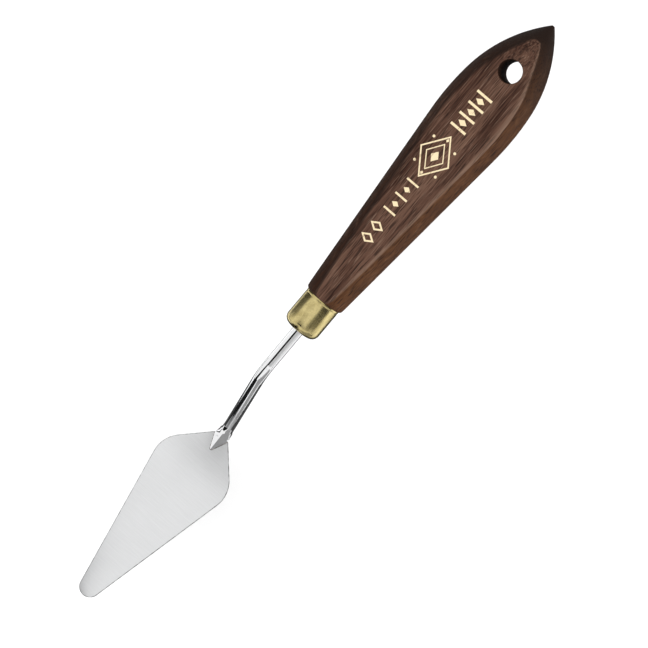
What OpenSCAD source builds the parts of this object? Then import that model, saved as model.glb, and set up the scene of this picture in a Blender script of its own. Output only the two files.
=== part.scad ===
// Cranked palette knife: wooden handle, brass ferrule, steel shank and a thin trowel-shaped blade.
// The handle's axis runs along +X from the butt to the blade, and its printed face looks up (+Z).
// The origin is under the middle of the knife, level with the lowest edge of the blade's heel.

/* [Handle] */
// Length of the wooden handle, from butt to shoulder
handle_len = 101.7; // [92:0.1:125]
// Width of the handle at its belly
belly_w = 23.9; // [20:0.1:29]
// Thickness of the handle between its two faces at the belly
belly_t = 16.0; // [13:0.1:19]
// Distance from the butt to the widest point
belly_x = 33; // [28:0.5:40]
// Radius of the long curve over the belly, seen from the front
belly_round = 80; // [60:1:96]
// Width of the handle at the shoulder, by the ferrule
neck_w = 12.5; // [11.8:0.1:15]
// Thickness of the handle at the shoulder
neck_t = 11.6; // [11.4:0.1:15]
// Width of the point of the butt
butt_w = 0.8; // [0.6:0.1:2]
// Distance from the butt to the thickest point
side_belly_x = 27; // [24:0.5:32]
// Radius of the long curve over the belly, seen from the side
side_round = 250; // [180:5:300]
// Thickness at which the two faces' curves end at the butt
butt_t = 2.4; // [1.6:0.1:3]
// Rounding of the edge of the shoulder
shoulder_round = 0.8; // [0.2:0.1:1.2]
// Diameter of the hanging hole
hole_d = 6.9; // [5:0.1:8]
// Distance from the butt to the centre of the hanging hole
hole_x = 17.2; // [15:0.1:22]

/* [Ferrule] */
// Outside diameter of the ferrule
ferrule_d = 11.2; // [10:0.1:11.6]
// Length of the ferrule
ferrule_len = 11.3; // [9:0.1:16]
// Thickness of the brass
ferrule_wall = 0.5; // [0.3:0.05:0.8]
// Outside rounding of the ferrule's closed end
ferrule_round = 2.3; // [1:0.1:2.8]
// Glue gap between the ferrule and the wooden spigot inside it
spigot_gap = 0.05; // [0.02:0.01:0.2]

/* [Shank] */
// Diameter of the steel rod
rod_d = 3.5; // [3:0.1:4.2]
// Clearance round the rod in the ferrule's hole
rod_gap = 0.05; // [0.02:0.01:0.2]
// Length of the rod inside the wood
tang_len = 34; // [20:1:50]
// Thickness of the adhesive round the tang
adhesive_gap = 0.35; // [0.1:0.05:0.6]
// Straight length of the rod between the ferrule and the crank
reach = 12.5; // [8:0.5:20]
// Slope of the crank, from the handle's axis
crank_angle = 42; // [30:1:52]
// Drop from the handle's axis to the top of the blade's heel
crank_drop = 20; // [16:0.5:26]
// Radius of the rod's bend where the crank starts, on its centre line
bend_r = 10; // [6:0.5:12]
// Radius of the rod's bend over the blade's heel, on its centre line
heel_bend_r = 5; // [4:0.5:7]
// Width of the forged foot where it crosses the blade's heel
foot_w = 4.9; // [4.2:0.1:5.4]
// Length of the foot on the blade
foot_len = 4.8; // [4:0.1:7]
// Thickness of the foot at its edge
foot_edge = 0.4; // [0.3:0.05:0.6]

/* [Blade] */
// Length of the blade
blade_len = 61; // [50:0.5:80]
// Greatest width of the blade
blade_w = 25; // [20:0.5:32]
// Distance from the heel to the widest point
blade_wide_x = 14; // [12:0.5:18]
// Thickness of the spring steel
blade_t = 0.55; // [0.4:0.05:0.8]
// Width of the blade's heel
heel_w = 5.2; // [5:0.1:7]
// Radius of the blade's rounded shoulders
shoulder_r = 9; // [6:0.5:11]
// Radius of the blade's nose
nose_r = 3.2; // [2:0.1:4.5]
// Upward tilt of the blade, from the handle's axis
blade_tilt = 9; // [0:1:12]

/* [Weld] */
// Width of the weld's bead round the foot
weld_w = 0.35; // [0.2:0.05:0.6]
// Height of the weld's bead
weld_h = 0.3; // [0.15:0.05:0.4]

/* [Hidden] */
$fn = 96;

rod_r = rod_d / 2;
ferrule_r = ferrule_d / 2;
spigot_r = ferrule_r - ferrule_wall - spigot_gap;
bore_r = rod_r + adhesive_gap;
ferrule_end_x = handle_len + ferrule_len;
spigot_end_x = ferrule_end_x - ferrule_round;
// The bore runs this far past the end of the tang.
bore_x = handle_len - tang_len - 3;
// how far tools that cut a solid run past it
past = 1;
// Depth of the creases where the handle's curves cross, and how far the belly's curve runs on past the nose's
crease = 0.02;
crease_lap = 4;

// Where the nose's curve meets the belly's, they both lie at this slope, seen from the front and from the side.
nose_slope = 6;
side_nose_slope = 2;

// The crank: the slanted stretch is as long as the drop asks for, and the heel lies where it ends.
// Height of the rod's centre line over the blade, where the second bend ends
foot_axis_h = 0.8;
// Place of that end, from the blade's heel
foot_axis_x = -0.6;
crank_len = (crank_drop - foot_axis_x * sin(blade_tilt) - foot_axis_h * cos(blade_tilt)
    - bend_r * (1 - cos(crank_angle)) - heel_bend_r * (cos(blade_tilt) - cos(crank_angle)))
    / sin(crank_angle);
crank_x = ferrule_end_x + reach;
heel_x = crank_x + (bend_r + heel_bend_r) * sin(crank_angle) + crank_len * cos(crank_angle)
    + heel_bend_r * sin(blade_tilt) - foot_axis_x * cos(blade_tilt) + foot_axis_h * sin(blade_tilt);

// The foot's ridge falls in a straight line from the top of the second bend to the foot's point.
point_w = 0.5;
point_h = foot_edge + 0.12;
ridge_up = foot_axis_h + heel_bend_r - point_h;
ridge_back = foot_len - foot_axis_x;
ridge_fall = atan2(ridge_up, ridge_back) - asin((heel_bend_r - rod_r) / norm([ridge_up, ridge_back]));
ridge_x = foot_axis_x - (heel_bend_r - rod_r) * sin(ridge_fall);
ridge_h = point_h + foot_len * tan(ridge_fall);
// Fall of the foot's two faces, from the ridge to the edge
roof_fall = (ridge_h - foot_edge) / (foot_w / 2);
// The foot starts inside the rod, under the start of its ridge, and this wide.
flare_w = 2.4;
// The rod's bends are this much fatter in radius, and the straight rod runs this far into them.
bend_swell = 0.02;
bend_lap = 0.3;
// how far the round rod runs into the foot
rod_in_foot = 1.2;

overall_len = heel_x + blade_len * cos(blade_tilt) + blade_t * sin(blade_tilt);
axis_h = crank_drop + blade_t * cos(blade_tilt);

// Angle from the vertical of the line that touches a circle of radius r and passes a point right of it.
function touch_angle(dx, dy, r) = atan2(dx, dy) - acos(r / norm([dx, dy]));

// Everything is drawn with the butt at the origin and the handle's axis on X, then set in its place.
module in_place() {
    translate([-overall_len / 2, 0, axis_h]) children();
}

// Places its children on the top face of the blade, with X along the blade from the heel.
module on_blade() {
    translate([heel_x, 0, -crank_drop]) rotate([0, -blade_tilt, 0]) children();
}

// A rectangle between two places along X and two heights
module strip(x0, x1, y0, y1) {
    polygon([[x0, y0], [x1, y0], [x1, y1], [x0, y1]]);
}

// One of the four stretches that are cut away above the handle's outline: over the nose curve, the belly curve, the
// straight taper and the rounded shoulder. start, wide and narrow are the outline's heights at the butt, the belly
// and the shoulder, and the belly is at top. Each stretch crosses the next at a crease too slight to feel.
module over_outline(stretch, start, wide, narrow, top, round, slope) {
    nose_x = top - round * sin(slope);
    nose_y = wide - round * (1 - cos(slope));
    rise = nose_y - start;
    nose_round = (nose_x * nose_x + rise * rise) / (2 * (rise * cos(slope) - nose_x * sin(slope)));
    taper = touch_angle(handle_len - top, narrow - wide + round, round);
    taper_x = top + round * sin(taper);
    taper_y = wide - round * (1 - cos(taper));
    edge = [handle_len - shoulder_round, narrow + shoulder_round * (tan(taper) - 1 / cos(taper)) + crease];
    fall = (taper_y - crease - narrow) / (handle_len - taper_x);
    high = belly_w;
    if (stretch == 0) difference() {
        strip(-past, nose_x, 0, high);
        translate([nose_x + nose_round * sin(slope), nose_y + crease - nose_round * cos(slope)])
            circle(nose_round);
    }
    if (stretch == 1) difference() {
        strip(nose_x - crease_lap, taper_x, 0, high);
        translate([top, wide - round]) circle(round);
    }
    if (stretch == 2) polygon([[top, narrow + fall * (handle_len - top)], [handle_len + past, narrow - fall * past],
        [handle_len + past, high], [top, high]]);
    if (stretch == 3) difference() {
        strip(edge[0] + shoulder_round * sin(taper), handle_len + past, edge[1], high);
        translate(edge) circle(shoulder_round);
    }
}

// A solid between two places on the handle's axis, as round as its child
module along_axis(from, to) {
    translate([from, 0, 0]) rotate([0, 90, 0]) linear_extrude(to - from) children();
}

// Turns a half outline, drawn with X along the handle's axis, into a solid round that axis.
module turned() {
    rotate([0, 90, 0]) rotate_extrude() rotate([0, 0, 90]) mirror([0, 1, 0]) children();
}

// What is cut away above one of the handle's two faces. The shoulder is rounded where it is turned, so the cut
// leaves its round alone.
module face_cut() {
    for (stretch = [0:2]) rotate([90, 0, 0]) translate([0, 0, -belly_w]) linear_extrude(2 * belly_w)
        over_outline(stretch, butt_t / 2, belly_t / 2, neck_t / 2, side_belly_x, side_round, side_nose_slope);
}

module handle() {
    color("#4a2d24") in_place() difference() {
        union() {
            turned() difference() {
                strip(0, handle_len, 0, belly_w / 2);
                for (stretch = [0:3])
                    over_outline(stretch, butt_w / 2, belly_w / 2, neck_w / 2, belly_x, belly_round, nose_slope);
            }
            along_axis(handle_len - past, spigot_end_x) circle(spigot_r);
        }
        face_cut();
        mirror([0, 0, 1]) face_cut();
        translate([hole_x, 0, -belly_t]) cylinder(h = 2 * belly_t, d = hole_d);
        along_axis(bore_x, spigot_end_x + past) circle(bore_r);
    }
}

// A round cup's half section: r outside, len deep, its closed end rounded
module cup_section(r, len, round) {
    square([r - round, len]);
    square([r, len - round]);
    translate([r - round, len - round]) circle(round);
}

module ferrule() {
    color("#b59a4a") in_place() translate([handle_len, 0, 0]) rotate([0, 90, 0]) rotate_extrude() difference() {
        cup_section(ferrule_r, ferrule_len, ferrule_round);
        translate([0, -past])
            cup_section(ferrule_r - ferrule_wall, ferrule_len - ferrule_wall + past, ferrule_round - ferrule_wall);
        square([rod_r + rod_gap, ferrule_len + past]);
    }
}

// The rod where it bends, from one angle to the other round a centre in the plane of the crank. Bending leaves it
// a hair fatter, and the straight rod runs a little way into it.
module rod_bend(centre, r, from, to) {
    translate(centre) rotate([90, 0, 0]) rotate([0, 0, from]) rotate_extrude(angle = to - from)
        translate([r, 0]) circle(rod_r + bend_swell);
}

// The foot's plan on the blade, with extra added round it
module foot_outline(extra) {
    polygon([[ridge_x, -flare_w / 2], [0, -foot_w / 2 - extra], [foot_len + extra, -point_w / 2 - extra],
        [foot_len + extra, point_w / 2 + extra], [0, foot_w / 2 + extra], [ridge_x, flare_w / 2]]);
}

// Two faces that fall away from the foot's ridge, and all that lies under them
module foot_roof() {
    translate([foot_len, 0, point_h]) rotate([0, ridge_fall, 0]) translate([-2 * foot_len, 0, 0])
        rotate([90, 0, 90]) linear_extrude(3 * foot_len)
            polygon([[0, 0], [foot_w, -foot_w * roof_fall], [foot_w, -foot_w * 3],
                [-foot_w, -foot_w * 3], [-foot_w, -foot_w * roof_fall]]);
}

module shank() {
    slant = [crank_x + bend_r * sin(crank_angle), 0, -bend_r * (1 - cos(crank_angle))];
    slant_end = slant + crank_len * [cos(crank_angle), 0, -sin(crank_angle)];
    color("#c8c8c8") in_place() {
        along_axis(handle_len - tang_len, crank_x + bend_lap) circle(rod_r);
        rod_bend([crank_x, 0, -bend_r], bend_r, 90 - crank_angle, 90);
        translate(slant) rotate([0, 90 + crank_angle, 0]) translate([0, 0, -bend_lap])
            cylinder(h = crank_len + 2 * bend_lap, r = rod_r);
        difference() {
            union() {
                rod_bend(slant_end + heel_bend_r * [sin(crank_angle), 0, cos(crank_angle)], heel_bend_r,
                    270 - crank_angle, 270 + blade_tilt);
                on_blade() {
                    translate([foot_axis_x - bend_lap, 0, foot_axis_h]) rotate([0, 90, 0])
                        cylinder(h = rod_in_foot - foot_axis_x + bend_lap, r = rod_r);
                    linear_extrude(ridge_h * 2) foot_outline(0);
                }
            }
            on_blade() {
                difference() {
                    translate([ridge_x, -foot_w, -foot_len]) cube([3 * foot_len, 2 * foot_w, 3 * foot_len]);
                    foot_roof();
                }
                translate([0, -foot_w, -rod_d]) cube([2 * foot_len, 2 * foot_w, rod_d]);
            }
            translate([heel_x - 2 * foot_len, -foot_w, -crank_drop - rod_d]) cube([3 * foot_len, 2 * foot_w, rod_d]);
        }
    }
}

// A slice of a circle between two angles
module slice(centre, r, from, to) {
    middle = (from + to) / 2;
    intersection() {
        translate(centre) circle(r);
        polygon([centre, centre + 2 * r * [cos(from), sin(from)], centre + 3 * r * [cos(middle), sin(middle)],
            centre + 2 * r * [cos(to), sin(to)]]);
    }
}

// A plate of the blade's plan, with its heel at X = 0: straight from the heel to the rounded shoulders, and straight
// again to the nose, each line touching the round that it meets.
module blade_plate(z, thickness) {
    hub = [blade_wide_x, blade_w / 2 - shoulder_r];
    tip = [blade_len - nose_r, 0];
    from_heel = hub - [0, heel_w / 2];
    heel_touch = atan2(from_heel[1], from_heel[0]) + 180 - acos(shoulder_r / norm(from_heel));
    nose_touch = atan2(tip[1] - hub[1], tip[0] - hub[0]) + acos((shoulder_r - nose_r) / norm(tip - hub));
    side = [[0, heel_w / 2], hub + shoulder_r * [cos(heel_touch), sin(heel_touch)],
        hub + shoulder_r * [cos(nose_touch), sin(nose_touch)], tip + nose_r * [cos(nose_touch), sin(nose_touch)]];
    translate([0, 0, z]) {
        linear_extrude(thickness)
            polygon(concat(side, [for (i = [3:-1:0]) [side[i][0], -side[i][1]]]));
        linear_extrude(thickness) slice(hub, shoulder_r, heel_touch, nose_touch);
        mirror([0, 1, 0]) linear_extrude(thickness) slice(hub, shoulder_r, heel_touch, nose_touch);
        linear_extrude(thickness) slice(tip, nose_r, -nose_touch, nose_touch);
    }
}

module blade() {
    color("#d8dada") in_place() on_blade() blade_plate(-blade_t, blade_t);
}

module weld_seam() {
    color("#9a9a98") in_place() on_blade() intersection() {
        linear_extrude(weld_h) difference() {
            foot_outline(weld_w);
            foot_outline(0);
        }
        blade_plate(-weld_h, 3 * weld_h);
    }
}

module tang_adhesive() {
    color("#c9b48a") in_place() difference() {
        along_axis(bore_x, spigot_end_x) circle(bore_r);
        along_axis(handle_len - tang_len, spigot_end_x + past) circle(rod_r);
    }
}

handle();
ferrule();
shank();
blade();
weld_seam();
tang_adhesive();
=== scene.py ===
from math import acos, asin, atan2, cos, hypot, pi, radians, sin, sqrt, tan

import bmesh
import bpy
from bpy.props import FloatProperty, FloatVectorProperty, IntProperty, PointerProperty
from mathutils import Matrix, Vector


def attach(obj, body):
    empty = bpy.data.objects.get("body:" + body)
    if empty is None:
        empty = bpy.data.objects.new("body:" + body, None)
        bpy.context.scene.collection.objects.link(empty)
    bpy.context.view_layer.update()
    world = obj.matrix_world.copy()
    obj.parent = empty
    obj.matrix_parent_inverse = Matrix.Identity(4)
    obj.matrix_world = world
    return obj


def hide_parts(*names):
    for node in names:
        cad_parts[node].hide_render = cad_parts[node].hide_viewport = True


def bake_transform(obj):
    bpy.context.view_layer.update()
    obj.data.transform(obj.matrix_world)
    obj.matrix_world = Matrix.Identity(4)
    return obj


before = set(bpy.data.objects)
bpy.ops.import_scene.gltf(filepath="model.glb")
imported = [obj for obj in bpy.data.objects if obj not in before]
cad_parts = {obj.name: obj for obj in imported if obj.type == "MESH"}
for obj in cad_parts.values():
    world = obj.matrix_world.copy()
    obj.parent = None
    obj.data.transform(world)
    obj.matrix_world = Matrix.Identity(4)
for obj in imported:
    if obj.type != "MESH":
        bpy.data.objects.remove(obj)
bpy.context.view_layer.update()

bl_info = {
    "name": "Palette Knife",
    "version": (1, 0, 0),
    "blender": (4, 5, 0),
    "location": "3D View > Sidebar > Palette Knife",
    "description": "Dresses the palette knife's frame in turned wood, brass and polished steel",
    "category": "Object",
}

MM = 0.001
FLOOR_HALF = 6.0
CARD_GAP = 0.0005
VIEW_END = 50

# The knife's own sizes in millimetres, with the butt at 0 and the handle's axis on X, as its frame was drawn.
HANDLE_LEN = 101.7
BELLY_HALF, FACE_HALF, NECK_HALF, NECK_FACE_HALF = 11.95, 8.0, 6.25, 5.8
HOLE_X, HOLE_R = 17.2, 3.45
SHOULDER = 0.8
FERRULE_LEN, FERRULE_R, FERRULE_ROUND = 11.3, 5.6, 2.3
ROD_R = 1.75
CRANK_X = HANDLE_LEN + FERRULE_LEN + 12.5
CRANK, DROP, BEND_R, HEEL_BEND_R = radians(42), 20.0, 10.0, 5.0
TILT = radians(9)
FOOT_HALF, FOOT_LEN, FOOT_EDGE = 2.45, 4.8, 0.4
FOOT_AXIS = (-0.6, 0.8)
POINT_HALF, POINT_H = 0.25, 0.52
BLADE_LEN, BLADE_T, HEEL_HALF = 61.0, 0.55, 2.6
WIDE_X, BLADE_HALF, SHOULDER_R, NOSE_R = 14.0, 12.5, 9.0, 3.2

CRANK_LEN = (DROP - FOOT_AXIS[0] * sin(TILT) - FOOT_AXIS[1] * cos(TILT) - BEND_R * (1 - cos(CRANK))
             - HEEL_BEND_R * (cos(TILT) - cos(CRANK))) / sin(CRANK)
HEEL_X = (CRANK_X + (BEND_R + HEEL_BEND_R) * sin(CRANK) + CRANK_LEN * cos(CRANK) + HEEL_BEND_R * sin(TILT)
          - FOOT_AXIS[0] * cos(TILT) + FOOT_AXIS[1] * sin(TILT))
OVERALL = HEEL_X + BLADE_LEN * cos(TILT) + BLADE_T * sin(TILT)
AXIS_H = DROP + BLADE_T * cos(TILT)


def placed(x, y, z):
    """A point given in millimetres from the butt, set in the frame."""
    return Vector(((x - OVERALL / 2) * MM, y * MM, (z + AXIS_H) * MM))


def on_blade(x, y, z):
    """A point given along the blade from its heel and above its top face, set in the frame."""
    return placed(HEEL_X + x * cos(TILT) - z * sin(TILT), y, -DROP + x * sin(TILT) + z * cos(TILT))


def outline(x, start, wide, narrow, top, bend, slope):
    """Height of one of the handle's outlines at x: nose, belly, taper and rounded shoulder."""
    nose_x = top - bend * sin(slope)
    nose_y = wide - bend * (1 - cos(slope))
    rise = nose_y - start
    nose = (nose_x**2 + rise**2) / (2 * (rise * cos(slope) - nose_x * sin(slope)))
    away, fall = HANDLE_LEN - top, narrow - wide + bend
    taper = atan2(away, fall) - acos(bend / hypot(away, fall))
    if x <= nose_x:
        middle = nose_x + nose * sin(slope)
        return nose_y - nose * cos(slope) + sqrt(max(0.0, nose**2 - (middle - x) ** 2))
    if x <= top + bend * sin(taper):
        return wide - bend + sqrt(bend**2 - (x - top) ** 2)
    return narrow + tan(taper) * (HANDLE_LEN - x)


def handle_round(x):
    """Radius of the turned handle at x, with its shoulder rounded."""
    r = outline(x, 0.4, BELLY_HALF, NECK_HALF, 33.0, 80.0, radians(6))
    past = x - (HANDLE_LEN - SHOULDER)
    if past > 0:
        r = min(r, NECK_HALF - SHOULDER + sqrt(max(0.0, SHOULDER**2 - past**2)))
    return r


def handle_face(x):
    """Height of the handle's flat faces above its axis at x."""
    return outline(x, 1.2, FACE_HALF, NECK_FACE_HALF, 27.0, 250.0, radians(2))


# ---------------------------------------------------------------- mesh work


def loft(rings, caps=(True, True)):
    """Draws one edge loop out through a list of rings of points and closes its ends."""
    bm = bmesh.new()
    count = len(rings[0])
    ring = list(bmesh.ops.create_circle(bm, cap_ends=False, segments=count, radius=1)["verts"])
    for vert, point in zip(ring, rings[0]):
        vert.co = point
    loop = list(bm.edges)
    first = list(loop)
    for points in rings[1:]:
        before = {vert: i for i, vert in enumerate(ring)}
        grown = bmesh.ops.extrude_edge_only(bm, edges=loop)["geom"]
        fresh = {item for item in grown if isinstance(item, bmesh.types.BMVert)}
        loop = [item for item in grown if isinstance(item, bmesh.types.BMEdge)
                and item.verts[0] in fresh and item.verts[1] in fresh]
        for vert in fresh:
            for edge in vert.link_edges:
                other = edge.other_vert(vert)
                if other in before:
                    ring[before[other]] = vert
        for vert, point in zip(ring, points):
            vert.co = point
    if caps[0]:
        bmesh.ops.contextual_create(bm, geom=first)
    if caps[1]:
        bmesh.ops.contextual_create(bm, geom=loop)
    bmesh.ops.recalc_face_normals(bm, faces=bm.faces)
    return bm


def piece(name, bm, material, body, slot, *nodes, sharp=35.0):
    """Turns a bmesh into a finished object that rides on its body."""
    mesh = bpy.data.meshes.new(name)
    bm.to_mesh(mesh)
    bm.free()
    for face in mesh.polygons:
        face.use_smooth = True
    mesh.set_sharp_from_angle(angle=radians(sharp))
    obj = bpy.data.objects.new(name, mesh)
    bpy.context.scene.collection.objects.link(obj)
    obj.data.materials.append(material)
    if body:
        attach(obj, body)
    if nodes:
        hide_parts(*nodes)
    return obj


def cut(obj, bm, rim_sharp=35.0):
    """Cuts a closed bmesh out of an object and keeps the result as its mesh."""
    mesh = bpy.data.meshes.new("cutter")
    bm.to_mesh(mesh)
    bm.free()
    tool = bpy.data.objects.new("cutter", mesh)
    bpy.context.scene.collection.objects.link(tool)
    modifier = obj.modifiers.new("cut", "BOOLEAN")
    modifier.operation = "DIFFERENCE"
    modifier.solver = "EXACT"
    modifier.object = tool
    for material in obj.data.materials:
        mesh.materials.append(material)
    graph = bpy.context.evaluated_depsgraph_get()
    result = bpy.data.meshes.new_from_object(obj.evaluated_get(graph))
    obj.modifiers.clear()
    old = obj.data
    obj.data = result
    bpy.data.objects.remove(tool)
    bpy.data.meshes.remove(old)
    for face in result.polygons:
        face.use_smooth = True
    result.set_sharp_from_angle(angle=radians(rim_sharp))


# ---------------------------------------------------------------- materials


class Shade:
    """A material's node tree with its Principled shader, built one node at a time."""

    def __init__(self, name, **values):
        self.material = bpy.data.materials.new(name)
        self.material.use_nodes = True
        self.tree = self.material.node_tree
        self.shader = self.tree.nodes["Principled BSDF"]
        for key, value in values.items():
            self.shader.inputs[key.replace("_", " ")].default_value = value

    def node(self, kind, inputs=(), **settings):
        made = self.tree.nodes.new(kind)
        for key, value in settings.items():
            setattr(made, key, value)
        for key, value in dict(inputs).items():
            if isinstance(value, bpy.types.NodeSocket):
                self.tree.links.new(value, made.inputs[key])
            else:
                made.inputs[key].default_value = value
        return made

    def place(self, scale, turn=(0, 0, 0), shift=(0, 0, 0)):
        at = self.node("ShaderNodeTexCoord").outputs["Object"]
        inputs = {"Vector": at, "Scale": scale, "Rotation": turn, "Location": shift}
        return self.node("ShaderNodeMapping", inputs).outputs[0]

    def noise(self, vector, scale=1.0, detail=4.0, rough=0.55, twist=0.0):
        return self.node("ShaderNodeTexNoise", {"Vector": vector, "Scale": scale, "Detail": detail,
                                                "Roughness": rough, "Distortion": twist}).outputs["Fac"]

    def ramp(self, value, *stops):
        made = self.node("ShaderNodeValToRGB", {"Fac": value})
        bar = made.color_ramp.elements
        while len(bar) < len(stops):
            bar.new(0.5)
        for stop, (at, colour) in zip(bar, stops):
            stop.position = at
            stop.color = (*colour, 1) if len(colour) == 3 else colour
        return made.outputs["Color"]

    def span(self, value, low, high, to_low=0.0, to_high=1.0):
        return self.node("ShaderNodeMapRange", {"Value": value, "From Min": low, "From Max": high,
                                                "To Min": to_low, "To Max": to_high}).outputs["Result"]

    def math(self, operation, a, b=0.0):
        return self.node("ShaderNodeMath", {0: a, 1: b}, operation=operation).outputs[0]

    def mix(self, factor, a, b, blend="MIX"):
        made = self.tree.nodes.new("ShaderNodeMix")
        made.data_type = "RGBA"
        made.blend_type = blend
        for index, value in ((0, factor), (6, a), (7, b)):
            if isinstance(value, bpy.types.NodeSocket):
                self.tree.links.new(value, made.inputs[index])
            elif index == 0:
                made.inputs[index].default_value = value
            else:
                made.inputs[index].default_value = (*value, 1)
        return made.outputs[2]

    def attribute(self, name):
        return self.node("ShaderNodeAttribute", attribute_name=name, attribute_type="GEOMETRY").outputs["Fac"]

    def along(self, axis):
        at = self.node("ShaderNodeTexCoord").outputs["Object"]
        return self.node("ShaderNodeSeparateXYZ", {0: at}).outputs[axis]

    def bump(self, height, strength, distance):
        made = self.node("ShaderNodeBump", {"Height": height, "Strength": strength, "Distance": distance})
        self.tree.links.new(made.outputs[0], self.shader.inputs["Normal"])

    def to(self, socket, value):
        self.tree.links.new(value, self.shader.inputs[socket])


def walnut_stain(colours):
    """Stained, varnished wood: long fibres, open pores, growth bands and a darker butt, with painted light and shade:
    a lit and a shaded flank, a painted highlight along one ridge and painted shade along the other.
    """
    s = Shade("walnut_stain", Specular_IOR_Level=0.12, IOR=1.3)
    bands = s.noise(s.place((22, 210, 160), (0.05, 0, 0.035)), 1.0, 3.0, 0.5, 0.35)
    fibres = s.noise(s.place((55, 2100, 2100), (0, 0, 0.03)), 1.0, 5.0, 0.6, 0.1)
    flecks = s.noise(s.place((120, 3600, 3600), (0, 0, 0.03), (3, 1, 2)), 1.0, 2.0, 0.5)
    pores = s.span(s.noise(s.place((150, 3300, 3300), (0, 0, 0.03), (9, 4, 7)), 1.0, 1.0, 0.4), 0.36, 0.44)
    blend = s.math("ADD", s.math("MULTIPLY", bands, 0.55), s.math("MULTIPLY", fibres, 0.45))
    wood = s.ramp(blend, (0.36, colours.wood_dark), (0.50, colours.wood), (0.63, colours.wood_light))
    streaks = s.span(flecks, 0.58, 0.74, 0.0, 0.5)
    wood = s.mix(streaks, wood, colours.streaks_and_painted_highlight)
    mottle = s.noise(s.place((180, 420, 420), (0, 0, 0.03), (5, 5, 5)), 1.0, 5.0, 0.65, 0.3)
    # Painted light and shade: the flank on -Y gets a dark, shaded copy of the wood and the flank on +Y a warm, lit
    # copy; this side mask also places the painted ridge highlight and the painted ridge shade below.
    side = s.span(s.along(1), -0.003, 0.003)
    flank = s.mix(side, colours.painted_shade_flank_wood, colours.painted_lit_flank_wood)
    flank = s.mix(s.span(mottle, 0.38, 0.62, 0.55, 0.0), flank, colours.wood_dark)
    flank = s.mix(s.span(mottle, 0.55, 0.72, 0.0, 0.4), flank, colours.wood_light)
    wood = s.mix(s.span(s.attribute("flank"), 0.3, 0.7, 0.0, 0.9), wood, flank)
    wood = s.mix(s.span(pores, 0.0, 1.0, 0.7, 0.0), wood, colours.pores_and_painted_shade)
    # Painted highlight: a light line along the ridge on the +Y side, in the streak colour, broken up by the growth
    # bands.
    painted_ridge_highlight = s.math("MULTIPLY", s.attribute("crest"), s.span(bands, 0.35, 0.65, 0.12, 0.4))
    wood = s.mix(s.math("MULTIPLY", painted_ridge_highlight, side), wood, colours.streaks_and_painted_highlight)
    # Painted shade: a dark line along the ridge on the -Y side, in the pore colour.
    painted_ridge_shade = s.math("MULTIPLY", s.attribute("crest"), s.span(side, 0.0, 1.0, 0.75, 0.0))
    wood = s.mix(painted_ridge_shade, wood, colours.pores_and_painted_shade)
    tip = s.span(s.along(0), placed(4, 0, 0).x, placed(30, 0, 0).x, 0.97, 0.0)
    tip = s.math("MULTIPLY", tip, s.span(s.attribute("flank"), 0.0, 0.4, 0.12, 1.0))
    wood = s.mix(tip, wood, colours.pores_and_painted_shade)
    s.to("Base Color", wood)
    rough = s.math("SUBTRACT", fibres, s.math("MULTIPLY", pores, 0.25))
    s.to("Roughness", s.span(rough, -0.1, 0.6, 0.42, 0.66))
    height = s.math("ADD", s.math("MULTIPLY", pores, 0.7), s.math("MULTIPLY", fibres, 0.5))
    s.bump(height, 0.5, 0.00012)
    return s.material


def ink(colours):
    """Opaque cream ink that lies a little unevenly on the grain."""
    s = Shade("cream_ink", Specular_IOR_Level=0.35)
    wear = s.noise(s.place((300, 2600, 2600)), 1.0, 4.0, 0.6)
    s.to("Base Color", s.ramp(wear, (0.32, colours.ink_thin), (0.42, colours.ink)))
    s.to("Roughness", s.span(wear, 0.2, 0.8, 0.45, 0.7))
    s.bump(wear, 0.3, 0.00004)
    return s.material


def brass(colours):
    """Rolled brass: fine lines round the axis and a cloudy, olive film of wear."""
    s = Shade("ferrule_brass", Metallic=1.0)
    turned = s.noise(s.place((9000, 260, 260)), 1.0, 2.0, 0.5)
    cloud = s.noise(s.place((320, 420, 420)), 1.0, 5.0, 0.6, 0.4)
    specks = s.span(s.noise(s.place((2400, 2400, 2400)), 1.0, 2.0), 0.66, 0.74, 0.0, 0.5)
    colour = s.ramp(cloud, (0.34, colours.brass_dull), (0.58, colours.brass))
    s.to("Base Color", s.mix(specks, colour, colours.brass_dull))
    s.to("Roughness", s.math("ADD", s.span(cloud, 0.3, 0.7, 0.24, 0.19), s.span(turned, 0.3, 0.7, 0.0, 0.05)))
    s.bump(turned, 0.08, 0.00001)
    return s.material


def polished_steel(colours):
    """Bright polished rod with faint lengthwise hairlines and small dull spots."""
    s = Shade("polished_steel", Metallic=1.0)
    hair = s.noise(s.place((140, 5200, 5200)), 1.0, 2.0, 0.5)
    spots = s.span(s.noise(s.place((900, 900, 900)), 1.0, 3.0), 0.62, 0.72)
    s.to("Base Color", s.mix(s.math("MULTIPLY", spots, 0.3), colours.steel, colours.steel_dull))
    s.to("Roughness", s.math("ADD", s.span(hair, 0.3, 0.7, 0.05, 0.09), s.math("MULTIPLY", spots, 0.1)))
    s.bump(hair, 0.05, 0.00002)
    return s.material


def satin_steel(colours):
    """Thin ground blade: fine crosswise grinding lines and a soft cloud of polish."""
    s = Shade("satin_steel", Metallic=1.0)
    lines = s.noise(s.place((6500, 150, 6500)), 1.0, 3.0, 0.55)
    cloud = s.noise(s.place((60, 90, 60)), 1.0, 3.0, 0.5, 0.3)
    scratch = s.span(s.noise(s.place((900, 5200, 900), (0, 0, 0.7)), 1.0, 1.0), 0.70, 0.76, 0.0, 0.3)
    colour = s.ramp(lines, (0.3, colours.blade_dull), (0.7, colours.blade))
    s.to("Base Color", s.mix(scratch, colour, colours.blade_dull))
    s.to("Roughness", s.math("ADD", s.span(cloud, 0.3, 0.7, 0.34, 0.42), s.span(lines, 0.3, 0.7, 0.0, 0.06)))
    s.bump(lines, 0.06, 0.00002)
    return s.material


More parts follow.
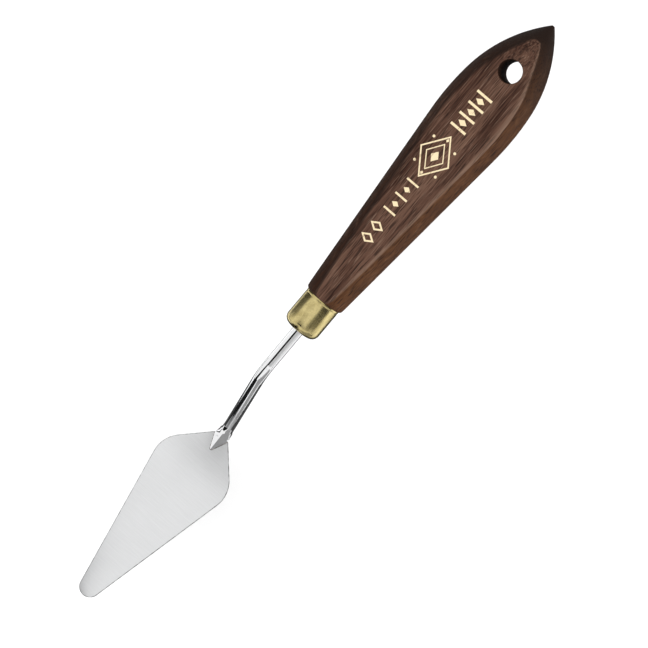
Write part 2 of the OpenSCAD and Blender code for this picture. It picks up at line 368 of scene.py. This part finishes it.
def sheared_and_painted_dark_edge(colours):
    """The blade's sheared and eased edge, rougher than its ground faces and painted near black: a painted dark
    reflection round the rim.
    """
    s = Shade("sheared_and_painted_dark_edge", Metallic=1.0)
    nicks = s.noise(s.place((700, 700, 700)), 1.0, 4.0, 0.6)
    # Painted reflection: the rim's colour is near black, standing in for the dark reflection along the blade's edge.
    s.to("Base Color", s.ramp(nicks, (0.35, colours.rim_painted_dark), (0.7, colours.blade_dull)))
    s.to("Roughness", s.span(nicks, 0.3, 0.7, 0.4, 0.55))
    s.bump(nicks, 0.2, 0.00003)
    return s.material


def weld_metal(colours):
    """Heat-tinted weld bead."""
    s = Shade("weld_metal", Metallic=1.0)
    tint = s.noise(s.place((1100, 1100, 1100)), 1.0, 3.0, 0.6)
    s.to("Base Color", s.ramp(tint, (0.35, (0.05, 0.045, 0.045)), (0.55, (0.2, 0.17, 0.14)),
                              (0.7, (0.5, 0.49, 0.47))))
    s.to("Roughness", s.span(tint, 0.3, 0.7, 0.55, 0.3))
    s.bump(tint, 0.5, 0.0001)
    return s.material


def cured_resin():
    """Amber resin round the tang."""
    s = Shade("cured_resin", Specular_IOR_Level=0.5)
    cloud = s.noise(s.place((500, 500, 500)), 1.0, 3.0)
    s.to("Base Color", s.ramp(cloud, (0.35, (0.3, 0.19, 0.07)), (0.65, (0.5, 0.36, 0.16))))
    s.to("Roughness", s.span(cloud, 0.3, 0.7, 0.3, 0.5))
    return s.material


def pale_floor():
    s = Shade("pale_floor", Specular_IOR_Level=0.1)
    cloud = s.noise(s.place((6, 6, 6)), 1.0, 2.0)
    s.to("Base Color", s.ramp(cloud, (0.3, (0.978, 0.978, 0.978)), (0.7, (0.985, 0.985, 0.985))))
    s.to("Roughness", s.span(cloud, 0.3, 0.7, 0.85, 0.985))
    return s.material


# ---------------------------------------------------------------- settings


class KnifeSizes(bpy.types.PropertyGroup):
    """Sizes of the details that a maker might change."""
    ridge: FloatProperty(name="Ridge softness",
                         description="How far the edge of the handle's flat faces is eased",
                         default=0.00032, min=0.0001, max=0.001, unit="LENGTH")
    hole_rim: FloatProperty(name="Hole rim", description="How far the hanging hole's rim is eased",
                            default=0.0002, min=0.0001, max=0.0008, unit="LENGTH")
    ferrule_groove: FloatProperty(name="Ferrule groove", description="Depth of the groove by the wood",
                                  default=0.00008, min=0.0, max=0.0002, unit="LENGTH")
    blade_edge: FloatProperty(name="Blade edge", description="How far the blade's edges are eased",
                              default=0.00018, min=0.00005, max=0.0002, unit="LENGTH")
    blade_strips: IntProperty(name="Blade strips", description="Strips that the blade bends in",
                              default=90, min=20, max=160)


def colour(name, description, value):
    return FloatVectorProperty(name=name, description=description, default=value, size=3, min=0.0, max=1.0,
                               subtype="COLOR")


class KnifeColours(bpy.types.PropertyGroup):
    """Colours of the finishes."""
    wood: colour("Wood", "Main colour of the stained wood", (0.098, 0.050, 0.034))
    wood_dark: colour("Dark bands", "Colour of the wood's dark bands", (0.034, 0.014, 0.009))
    wood_light: colour("Light bands", "Colour of the wood's light bands", (0.145, 0.080, 0.054))
    # This colour serves the real light streaks and also the painted ridge highlight.
    streaks_and_painted_highlight: colour("Streaks", "Colour of the fine light streaks", (0.270, 0.180, 0.130))
    # The two flank colours are a lit and a shaded copy of one wood: painted light and painted shade.
    painted_lit_flank_wood: colour("Warm flank", "Warmer colour of the rounded flank on the left", (0.086, 0.035, 0.013))
    painted_shade_flank_wood: colour("Dark flank", "Darker colour of the rounded flank on the right", (0.024, 0.009, 0.0035))
    # This colour serves the open pores, the darker butt and the painted ridge shade.
    pores_and_painted_shade: colour("Pores", "Colour of the open pores", (0.014, 0.008, 0.006))
    ink: colour("Ink", "Colour of the printed ornament", (0.80, 0.66, 0.42))
    ink_thin: colour("Thin ink", "Colour of the ink where it is thin", (0.42, 0.30, 0.18))
    brass: colour("Brass", "Colour of the brass", (0.66, 0.55, 0.26))
    brass_dull: colour("Dull brass", "Colour of the brass where it has dulled", (0.47, 0.385, 0.165))
    steel: colour("Rod", "Colour of the polished rod", (0.86, 0.86, 0.87))
    steel_dull: colour("Dull rod", "Colour of the rod's dull spots", (0.55, 0.55, 0.56))
    blade: colour("Blade", "Colour of the ground blade", (0.83, 0.835, 0.84))
    # Near black: a painted dark reflection along the blade's edge, not the steel's own colour.
    rim_painted_dark: colour("Blade rim", "Colour of the blade's sheared edge", (0.10, 0.10, 0.105))
    blade_dull: colour("Dull blade", "Colour of the blade between its lines", (0.77, 0.775, 0.78))


class KnifeStage(bpy.types.PropertyGroup):
    """Floor, lights and camera."""
    floor_drop: FloatProperty(name="Floor drop", description="How far the floor lies under the knife",
                              default=0.024, min=0.0, max=0.2, unit="LENGTH")
    lens: FloatProperty(name="Lens", description="Focal length of the camera in millimetres",
                        default=251.7, min=20, max=400)
    distance: FloatProperty(name="Distance", description="Distance of the camera",
                            default=1.3, min=0.3, max=5,
                            unit="LENGTH")
    lean_back: FloatProperty(name="Lean back", description="How far the camera leans towards the butt",
                             default=radians(7.5), min=-1.5, max=1.5, unit="ROTATION")
    lean_side: FloatProperty(name="Lean side", description="How far the camera leans to the handle's side",
                             default=radians(7.9), min=-1.5, max=1.5, unit="ROTATION")
    turn: FloatProperty(name="Turn", description="Turn of the knife in the picture", default=radians(40.05),
                        min=-pi, max=pi, unit="ROTATION")
    sky: FloatProperty(name="Sky", description="Strength of the light from all round",
                       default=1.0, min=0, max=5)
    key: FloatProperty(name="Key light", description="Power of the key light in watts",
                       default=8.0, min=0, max=500)


# ---------------------------------------------------------------- operators


def flag(name, grey, corners):
    """A card that only reflections show, as a studio's flags do."""
    bm = bmesh.new()
    bmesh.ops.contextual_create(bm, geom=[bm.verts.new(corner) for corner in corners])
    mesh = bpy.data.meshes.new(name)
    bm.to_mesh(mesh)
    bm.free()
    card = bpy.data.objects.new(name, mesh)
    shade = Shade(name, Base_Color=(grey, grey, grey, 1), Roughness=1.0, Specular_IOR_Level=0.0)
    mesh.materials.append(shade.material)
    bpy.context.scene.collection.objects.link(card)
    card.visible_camera = card.visible_diffuse = card.visible_shadow = card.visible_transmission = False


class StageOperator(bpy.types.Operator):
    """Set the floor, the soft lights and the camera"""
    bl_idname = "palette_knife.stage"
    bl_label = "Stage"

    def execute(self, context):
        stage = context.scene.knife_stage
        bm = bmesh.new()
        bmesh.ops.create_grid(bm, x_segments=2, y_segments=2, size=FLOOR_HALF)
        bmesh.ops.translate(bm, verts=bm.verts, vec=(0, 0, -stage.floor_drop))
        mesh = bpy.data.meshes.new("floor")
        bm.to_mesh(mesh)
        bm.free()
        floor = bpy.data.objects.new("floor", mesh)
        mesh.materials.append(pale_floor())
        context.scene.collection.objects.link(floor)

        world = bpy.data.worlds.new("studio")
        world.use_nodes = True
        background = world.node_tree.nodes["Background"]
        background.inputs["Color"].default_value = (1.0, 1.0, 1.0, 1)
        background.inputs["Strength"].default_value = stage.sky
        context.scene.world = world

        def softbox(name, at, aim, width, height, power):
            light = bpy.data.lights.new(name, "AREA")
            light.shape = "RECTANGLE"
            light.size, light.size_y, light.energy = width, height, power
            lamp = bpy.data.objects.new(name, light)
            lamp.location = at
            lamp.rotation_euler = (Vector(at) - Vector(aim)).to_track_quat("Z", "Y").to_euler()
            context.scene.collection.objects.link(lamp)
            lamp.visible_glossy = False

        softbox("key", (-0.2, 1.1, 0.9), (0, 0, 0), 1.4, 0.8, stage.key)
        softbox("fill", (0.2, -0.6, 1.8), (0, 0, 0), 1.2, 1.2, stage.key * 0.5)

        # Dark flags that only polished metal and varnish mirror, as round a studio table.
        low = CARD_GAP - stage.floor_drop
        flag("flag_under", 0.05, (
            (-0.125, -0.05, low), (0.105, -0.05, low), (0.105, 0.05, low), (-0.125, 0.05, low)))
        flag("flag_left", 0.07, (
            (-0.13, -0.06, -0.01), (0.0135, -0.06, -0.01), (0.0135, -0.075, 0.062), (-0.13, -0.075, 0.062)))
        flag("flag_right", 0.07, (
            (-0.13, 0.07, 0.032), (0.0155, 0.07, 0.032), (0.0155, 0.05, 0.108), (-0.13, 0.05, 0.108)))
        flag("flag_over", 0.01, (
            (0.0115, -0.022, 0.07), (0.031, -0.022, 0.07), (0.031, 0.007, 0.07), (0.0115, 0.007, 0.07)))
        # A narrow ribbon carries the rod's dark line round the crank.
        bend = (((0.023, -0.0095, 0.042), (0.023, -0.001, 0.044)),
                ((0.036, -0.0126, 0.0335), (0.037, -0.0027, 0.0373)),
                ((0.042, -0.014, 0.0195), (0.046, -0.004, 0.025)),
                ((0.043, -0.0133, 0.0126), (0.0476, -0.0042, 0.018)))
        for i, ((a, b), (c, d)) in enumerate(zip(bend, bend[1:])):
            flag(f"flag_bend_{i}", 0.01, (a, b, d, c))
        flag("flag_grey", 0.5, (
            (0.0115, 0.008, 0.07), (0.033, 0.008, 0.07), (0.033, 0.06, 0.06), (0.0115, 0.06, 0.06)))
        flag("flag_pale", 0.72, (
            (0.0115, 0.06, 0.06), (0.033, 0.06, 0.06), (0.033, 0.085, 0.0), (0.0115, 0.085, 0.0)))
        flag("flag_front", 0.01, (
            (0.125, 0.004, low), (0.0858, -0.0514, low), (0.0858, -0.0514, 0.05), (0.125, 0.004, 0.05)))
        flag("flag_side", 0.3, ((0.13, 0.02, low), (0.05, 0.10, low), (0.05, 0.10, 0.06), (0.13, 0.02, 0.06)))
        for name, y in (("flag_near", -0.15), ("flag_far", 0.15)):
            flag(name, 0.03, ((0.04, y, low), (0.22, y, low), (0.22, y, 0.002), (0.04, y, 0.002)))

        camera = bpy.data.objects.new("camera", bpy.data.cameras.new("camera"))
        back, side = stage.lean_back, stage.lean_side
        out = Vector((-sin(back) * cos(side), sin(side), cos(back) * cos(side)))
        axis = Vector((1, 0, 0))
        down = (axis - out * axis.dot(out)).normalized()
        across = out.cross(down)
        right = across * cos(stage.turn) - down * sin(stage.turn)
        up = -(across * sin(stage.turn) + down * cos(stage.turn))
        aim = Vector((0.00063, 0.0034, 0.0125))
        camera.matrix_world = Matrix.Translation(aim + out * stage.distance) @ Matrix(
            ((right.x, up.x, out.x), (right.y, up.y, out.y), (right.z, up.z, out.z))).to_4x4()
        camera.data.lens = stage.lens
        camera.data.clip_end = VIEW_END
        context.scene.collection.objects.link(camera)
        context.scene.camera = camera
        context.scene.view_settings.view_transform = "Standard"
        return {"FINISHED"}


class HandleOperator(bpy.types.Operator):
    """Turn the wooden handle, plane its two faces and bore its hole"""
    bl_idname = "palette_knife.handle"
    bl_label = "Handle"

    FLANK, RIDGE, FACE = 18, 4, 12

    def quarter(self, x, soft):
        """Section from mid flank to mid face, with the ridge between them eased."""
        r, h = handle_round(x), handle_face(x)
        corner = asin(min(h / r, 0.985))
        ease = min(soft, 0.25 * r)
        stop = corner - ease / r
        points = [(r * cos(stop * i / self.FLANK), r * sin(stop * i / self.FLANK))
                  for i in range(self.FLANK + 1)]
        y_edge = max(r * cos(corner) - ease, 0.3 * r * cos(corner))
        face = [(y_edge * (1 - i / self.FACE), min(h, sqrt(max(0, r * r - (y_edge * (1 - i / self.FACE)) ** 2))))
                for i in range(self.FACE + 1)]
        start, middle, end = points[-1], (r * cos(corner), min(h, r * sin(corner))), face[0]
        for i in range(1, self.RIDGE):
            t = i / self.RIDGE
            points.append(tuple(start[k] * (1 - t) ** 2 + 2 * middle[k] * t * (1 - t) + end[k] * t * t
                                for k in (0, 1)))
        return points + face

    def execute(self, context):
        sizes, colours = context.scene.knife_sizes, context.scene.knife_colours
        soft = sizes.ridge / MM
        stations = [0, 0.12, 0.35, 0.7, 1.2, 1.8, 2.5, 3.3, 4.2] + [5.2 + 0.8 * i for i in range(24)]
        stations += [24.4 + 1.6 * i for i in range(48)]
        end = HANDLE_LEN - SHOULDER
        stations += [end + SHOULDER * sin(radians(a)) for a in (2, 15, 30, 45, 60, 75, 90)]
        rings = []
        for x in stations:
            q = self.quarter(x, soft)
            half = q + [(-y, z) for y, z in reversed(q[:-1])]
            loop = half + [(y, -z) for y, z in reversed(half[1:-1])]
            rings.append([placed(x, y, z) for y, z in loop])
        count = len(rings[0])
        for x, r in ((HANDLE_LEN, 5.05), (HANDLE_LEN + 8.9, 5.05)):
            rings.append([placed(x, r * cos(2 * pi * i / count), r * sin(2 * pi * i / count))
                          for i in range(count)])
        bm = loft(rings)
        flank = bm.verts.layers.float.new("flank")
        # crest marks the ridge between flank and face, where the wood's material paints a highlight on one side and
        # shade on the other.
        crest = bm.verts.layers.float.new("crest")
        for vert in bm.verts:
            x = vert.co.x / MM + OVERALL / 2
            y, z = vert.co.y / MM, vert.co.z / MM - AXIS_H
            if x < HANDLE_LEN - 0.01:
                r, h = handle_round(x), handle_face(x)
                edge = asin(min(h / r, 1.0))
                lift = abs(atan2(abs(z), abs(y)))
                vert[flank] = 1.0 if lift < edge - 0.03 and h < r else (1.0 if h >= r else 0.0)
                vert[crest] = 1.0 if h < r and abs(lift - edge) < 0.05 and x > 6 else 0.0
        handle = piece("wooden_handle", bm, walnut_stain(colours), None, "handle")

        rim = sizes.hole_rim / MM
        steps = [(HOLE_R + rim * (1 - cos(radians(a))), rim * (sin(radians(a)) - 1)) for a in (0, 20, 40, 60)]
        steps.append((steps[-1][0] + 1.2 * sin(radians(60)), steps[-1][1] + 1.2 * cos(radians(60))))
        levels = [(r, -1, lift) for r, lift in reversed(steps)] + [(r, 1, lift) for r, lift in steps]
        rings = []
        for r, sign, lift in levels:
            ring = []
            for i in range(72):
                a = 2 * pi * i / 72
                x = HOLE_X + r * cos(a)
                ring.append(placed(x, r * sin(a), sign * (handle_face(x) + lift)))
            rings.append(ring)
        cut(handle, loft(rings))
        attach(handle, "handle_body")
        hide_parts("handle")
        return {"FINISHED"}


class OrnamentOperator(bpy.types.Operator):
    """Print the plain ornament of bars and lozenges on the upper face"""
    bl_idname = "palette_knife.ornament"
    bl_label = "Ornament"

    def execute(self, context):
        colours = context.scene.knife_colours
        bm = bmesh.new()

        def mark(x, y, long, wide, sides, turn=0.0, hollow=0.0):
            ring = bmesh.ops.create_circle(bm, cap_ends=True, segments=sides, radius=1)["verts"]
            bmesh.ops.rotate(bm, verts=ring, cent=(0, 0, 0), matrix=Matrix.Rotation(turn, 3, "Z"))
            bmesh.ops.scale(bm, verts=ring, vec=(long, wide, 1))
            bmesh.ops.translate(bm, verts=ring, vec=(x, y, 0))
            faces = list({f for v in ring for f in v.link_faces})
            if hollow:
                inner = bmesh.ops.inset_region(bm, faces=faces, thickness=hollow,
                                               use_even_offset=True, use_boundary=True)
                bmesh.ops.delete(bm, geom=faces, context="FACES")
                faces = inner["faces"]
            return faces

        square = pi / 4
        root2 = sqrt(2)

        def bar(x, y, long, wide):
            mark(x, y, long / root2, wide / root2, 4, square)

        def lozenge(x, y, long, wide, hollow=0.0):
            mark(x, y, long / 2, wide / 2, 4, 0.0, hollow)

        shift = -1.0
        for i in range(4):
            bar(27.2 + 3.9 * i, shift, 0.75, 5.4)
            if i < 3:
                lozenge(29.15 + 3.9 * i, shift, 1.9, 3.0)
        lozenge(49.3, shift, 15.0, 10.6, 0.42)
        lozenge(49.3, shift, 9.4, 6.4, 0.3)
        lozenge(49.3, shift, 3.6, 2.6)
        for sx in (-1, 1):
            lozenge(49.3 + sx * 5.8, shift, 1.2, 0.9)
            for sy in (-1, 1):
                mark(49.3 + sx * 4.3, shift + sy * 3.9, 0.42, 0.42, 20)
        for i in range(5):
            if i % 2 == 0:
                bar(59.0 + 2.6 * i, shift, 0.6, 4.2)
            else:
                lozenge(59.0 + 2.6 * i, shift, 1.7, 2.4)
        lozenge(75.0, shift, 3.0, 4.6, 0.5)
        lozenge(79.2, shift, 3.0, 4.6, 0.5)

        bmesh.ops.triangulate(bm, faces=bm.faces)
        raised = bmesh.ops.extrude_face_region(bm, geom=list(bm.faces))["geom"]
        for vert in [item for item in raised if isinstance(item, bmesh.types.BMVert)]:
            vert.co.z = 1.0
        for vert in bm.verts:
            x, y = vert.co.x, vert.co.y
            lift = 0.008 if vert.co.z > 0.5 else -0.05
            vert.co = placed(x, y, handle_face(x) + lift)
        bmesh.ops.recalc_face_normals(bm, faces=bm.faces)
        piece("printed_ornament", bm, ink(colours), "handle_body", "handle")
        return {"FINISHED"}


class FerruleOperator(bpy.types.Operator):
    """Spin the brass ferrule with its groove, round mouth and rim round the rod"""
    bl_idname = "palette_knife.ferrule"
    bl_label = "Ferrule"

    def execute(self, context):
        sizes, colours = context.scene.knife_sizes, context.scene.knife_colours
        groove = sizes.ferrule_groove / MM
        r, end, turn = FERRULE_R, FERRULE_LEN, FERRULE_ROUND
        profile = [(0.0, r - 0.5), (0.0, r - 0.1), (0.03, r - 0.03), (0.1, r), (0.62, r), (0.70, r - groove * 0.7),
                   (0.80, r - groove), (0.90, r - groove * 0.7), (0.98, r)]
        profile += [(0.98 + (end - turn - 0.98) * i / 6, r) for i in range(1, 7)]
        profile += [(end - turn + turn * sin(radians(a)), r - turn + turn * cos(radians(a)))
                    for a in range(9, 91, 9)]
        profile += [(end, 2.15), (end - 0.03, 1.9), (end - 0.14, ROD_R + 0.05), (end - 0.5, ROD_R + 0.05),
                    (end - 0.5, r - turn)]
        profile += [(end - turn + (turn - 0.5) * sin(radians(a)), r - turn + (turn - 0.5) * cos(radians(a)))
                    for a in (67, 45, 22, 0)]
        bm = bmesh.new()
        verts = [bm.verts.new(placed(HANDLE_LEN + x, 0, h)) for x, h in profile]
        edges = [bm.edges.new(pair) for pair in zip(verts, verts[1:] + verts[:1])]
        bmesh.ops.spin(bm, geom=verts + edges, cent=placed(0, 0, 0), axis=(1, 0, 0), angle=2 * pi, steps=112,
                       use_merge=True, use_duplicate=False)
        bmesh.ops.remove_doubles(bm, verts=bm.verts, dist=1e-7)
        bmesh.ops.recalc_face_normals(bm, faces=bm.faces)
        piece("brass_ferrule", bm, brass(colours), "handle_body", "ferrule", "ferrule")
        return {"FINISHED"}


class ShankOperator(bpy.types.Operator):
    """Draw the rod through its crank and forge its ridged foot"""
    bl_idname = "palette_knife.shank"
    bl_label = "Shank"

    BOTTOM, EDGE, ROOF = 6, 3, 15

    def angles(self):
        """Angles round the rod, from the bottom up one side, matched to the foot's corners."""
        low, high = radians(-28), radians(-12)
        half = [-pi / 2 + (low + pi / 2) * i / self.BOTTOM for i in range(self.BOTTOM)]
        half += [low + (high - low) * i / self.EDGE for i in range(self.EDGE)]
        half += [high + (pi / 2 - high) * i / self.ROOF for i in range(self.ROOF + 1)]
        return half + [pi - a for a in reversed(half[1:-1])]

    def spear(self, wide, edge, ridge):
        """Section of the foot: flat under, upright edges and two faces up to the ridge."""
        half = [(wide * i / self.BOTTOM, 0.0) for i in range(self.BOTTOM)]
        half += [(wide, edge * i / self.EDGE) for i in range(self.EDGE)]
        half += [(wide * (1 - i / self.ROOF), edge + (ridge - edge) * i / self.ROOF)
                 for i in range(self.ROOF + 1)]
        return half + [(-y, z) for y, z in reversed(half[1:-1])]

    def execute(self, context):
        colours = context.scene.knife_colours
        angles = self.angles()
        rings = []

        def rod(x, z, pitch):
            """A ring square to a rod that points down by pitch."""
            rings.append([placed(x + ROD_R * sin(a) * sin(pitch), ROD_R * cos(a),
                                 z + ROD_R * sin(a) * cos(pitch)) for a in angles])

        for i in range(7):
            rod(HANDLE_LEN + 4 + (CRANK_X - HANDLE_LEN - 4) * i / 6, 0, 0)
        for i in range(1, 15):
            a = CRANK * i / 14
            rod(CRANK_X + BEND_R * sin(a), -BEND_R * (1 - cos(a)), a)
        x0, z0 = CRANK_X + BEND_R * sin(CRANK), -BEND_R * (1 - cos(CRANK))
        for i in range(1, 11):
            t = CRANK_LEN * i / 10
            rod(x0 + t * cos(CRANK), z0 - t * sin(CRANK), CRANK)

        up = FOOT_AXIS[1] + HEEL_BEND_R - POINT_H
        back = FOOT_LEN - FOOT_AXIS[0]
        fall = atan2(up, back) - asin((HEEL_BEND_R - ROD_R) / hypot(up, back))
        cx = x0 + CRANK_LEN * cos(CRANK) + HEEL_BEND_R * sin(CRANK)
        cz = z0 - CRANK_LEN * sin(CRANK) + HEEL_BEND_R * cos(CRANK)
        last = fall - TILT
        ridge_x = FOOT_AXIS[0] - (HEEL_BEND_R - ROD_R) * sin(fall)
        crest = POINT_H + (FOOT_LEN - ridge_x) * tan(fall)
        for i in range(1, 17):
            a, near = CRANK + (last - CRANK) * i / 16, max(0.0, (i - 5) / 11)
            x, z, t = cx - HEEL_BEND_R * sin(a), cz - HEEL_BEND_R * cos(a), 0.4 * near**2
            shape = self.spear(1.0 + (FOOT_HALF - 1.0) * near, FOOT_EDGE, crest)
            ring = []
            for b, (y, h) in zip(angles, shape):
                y = (1 + 0.1 * near) * ROD_R * cos(b) * (1 - t) + y * t
                h = ROD_R * sin(b) * (1 - t) + (h - crest + ROD_R) * t
                ring.append(placed(x + h * sin(a), y, z + h * cos(a)))
            rings.append(ring)

        for i in range(1, 26):
            x = ridge_x + (FOOT_LEN - ridge_x) * i / 25
            ridge = POINT_H + (FOOT_LEN - x) * tan(fall)
            wide = FOOT_HALF + (POINT_HALF - FOOT_HALF) * max(0.0, x) / FOOT_LEN
            t = min(1.0, (x - ridge_x) / (0.15 - ridge_x))
            t = 0.4 + 0.6 * t * t * (3 - 2 * t)
            centre = ridge - ROD_R
            shape = self.spear(wide, FOOT_EDGE, ridge)
            ring = []
            for a, (y, z) in zip(angles, shape):
                ry, rz = 1.1 * ROD_R * cos(a), max(centre + ROD_R * sin(a), -0.3 * (1 - t))
                lean = (1 - t) * (rz - ridge) * tan(fall) * 0.8
                ring.append(on_blade(x + lean, ry + (y - ry) * t, rz + (z - rz) * t))
            rings.append(ring)
        # The foot's underside ends level with the heel's top corner.
        for ring in rings:
            for point in ring:
                point.z = max(point.z, (AXIS_H - DROP) * MM)
        bm = loft(rings)
        piece("cranked_shank", bm, polished_steel(colours), "handle_body", "shank", "shank", sharp=42.0)
        return {"FINISHED"}


class BladeOperator(bpy.types.Operator):
    """Cut the thin blade in strips, so that it can bend, and ease its edges"""
    bl_idname = "palette_knife.blade"
    bl_label = "Blade"

    def execute(self, context):
        sizes, colours = context.scene.knife_sizes, context.scene.knife_colours
        bm = bmesh.new()
        hub = BLADE_HALF - SHOULDER_R
        for z in (0.0, -BLADE_T):
            for x, y, r, steps in ((WIDE_X, hub, SHOULDER_R, 128), (WIDE_X, -hub, SHOULDER_R, 128),
                                   (BLADE_LEN - NOSE_R, 0, NOSE_R, 96)):
                ring = bmesh.ops.create_circle(bm, segments=steps, radius=r)["verts"]
                bmesh.ops.translate(bm, verts=ring, vec=(x, y, z))
            for y in (-HEEL_HALF, HEEL_HALF):
                bm.verts.new((0, y, z))
        bmesh.ops.delete(bm, geom=list(bm.edges), context="EDGES_FACES")
        hull = bmesh.ops.convex_hull(bm, input=list(bm.verts))
        spare = {item for item in hull["geom_interior"] + hull["geom_unused"]
                 if isinstance(item, bmesh.types.BMVert)}
        bmesh.ops.delete(bm, geom=list(spare), context="VERTS")
        bmesh.ops.dissolve_limit(bm, angle_limit=radians(0.5), verts=bm.verts, edges=bm.edges)
        rim = [e for e in bm.edges if len(e.link_faces) == 2 and e.calc_face_angle() > radians(60)
               and abs(e.verts[0].co.z - e.verts[1].co.z) < 1e-6]
        bmesh.ops.bevel(bm, geom=rim, offset=sizes.blade_edge / MM, segments=3, profile=0.5, affect="EDGES",
                        material=-1, clamp_overlap=True)
        for i in range(1, sizes.blade_strips):
            x = BLADE_LEN * i / sizes.blade_strips
            bmesh.ops.bisect_plane(bm, geom=list(bm.verts) + list(bm.edges) + list(bm.faces), dist=1e-5,
                                   plane_co=(x, 0, 0), plane_no=(1, 0, 0))
        bmesh.ops.recalc_face_normals(bm, faces=bm.faces)
        for face in bm.faces:
            face.material_index = 0 if abs(face.normal.z) > 0.99 else 1
        for vert in bm.verts:
            vert.co = on_blade(*vert.co)
        blade = piece("spring_blade", bm, satin_steel(colours), None, "blade", "blade", sharp=40.0)
        blade.data.materials.append(sheared_and_painted_dark_edge(colours))
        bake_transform(blade)
        return {"FINISHED"}


class WeldOperator(bpy.types.Operator):
    """Run the lumpy bead round the foot"""
    bl_idname = "palette_knife.weld"
    bl_label = "Weld"

    def execute(self, context):
        colours = context.scene.knife_colours
        corners = [(-0.9, -1.7), (0.0, -FOOT_HALF), (FOOT_LEN, -POINT_HALF), (FOOT_LEN, POINT_HALF), (0.0, FOOT_HALF),
                   (-0.9, 1.7)]
        path = []
        for (xa, ya), (xb, yb) in zip(corners, corners[1:]):
            steps = max(2, int(hypot(xb - xa, yb - ya) / 0.22))
            path += [(xa + (xb - xa) * i / steps, ya + (yb - ya) * i / steps) for i in range(steps)]
        path.append(corners[-1])
        rings = []
        for i, (x, y) in enumerate(path):
            xa, ya = path[max(0, i - 1)]
            xb, yb = path[min(len(path) - 1, i + 1)]
            run = hypot(xb - xa, yb - ya)
            nx, ny = (yb - ya) / run, -(xb - xa) / run
            r = 0.15 + 0.05 * sin(i * 2.1) * sin(i * 0.73 + 1.0)
            x = max(x, 0.02)
            rings.append([on_blade(x + nx * r * cos(a), y + ny * r * cos(a), 0.03 + r * sin(a))
                          for a in [2 * pi * k / 10 for k in range(10)]])
        bm = loft(rings)
        piece("weld_bead", bm, weld_metal(colours), "handle_body", "weld_seam", "weld_seam")
        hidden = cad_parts["tang_adhesive"]
        hidden.data.materials.clear()
        hidden.data.materials.append(cured_resin())
        return {"FINISHED"}


OPERATORS = (StageOperator, HandleOperator, OrnamentOperator, FerruleOperator,
             ShankOperator, BladeOperator, WeldOperator)


class KnifePanel(bpy.types.Panel):
    """Sidebar panel with the knife's sizes, colours and pieces"""
    bl_idname = "VIEW3D_PT_palette_knife"
    bl_label = "Palette Knife"
    bl_space_type = "VIEW_3D"
    bl_region_type = "UI"
    bl_category = "Palette Knife"

    def draw(self, context):
        column = self.layout.column()
        for group in (context.scene.knife_sizes, context.scene.knife_colours, context.scene.knife_stage):
            for name in group.__annotations__:
                column.prop(group, name)
        for operator in OPERATORS:
            column.operator(operator.bl_idname)


GROUPS = {"knife_sizes": KnifeSizes, "knife_colours": KnifeColours, "knife_stage": KnifeStage}
CLASSES = (*GROUPS.values(), *OPERATORS, KnifePanel)


def register():
    for cls in CLASSES:
        bpy.utils.register_class(cls)
    for name, group in GROUPS.items():
        setattr(bpy.types.Scene, name, PointerProperty(type=group))


def unregister():
    for name in GROUPS:
        delattr(bpy.types.Scene, name)
    for cls in reversed(CLASSES):
        bpy.utils.unregister_class(cls)


def main():
    register()
    bpy.ops.palette_knife.stage()
    bpy.ops.palette_knife.handle()
    bpy.ops.palette_knife.ornament()
    bpy.ops.palette_knife.ferrule()
    bpy.ops.palette_knife.shank()
    bpy.ops.palette_knife.blade()
    bpy.ops.palette_knife.weld()


if __name__ == "__main__":
    main()
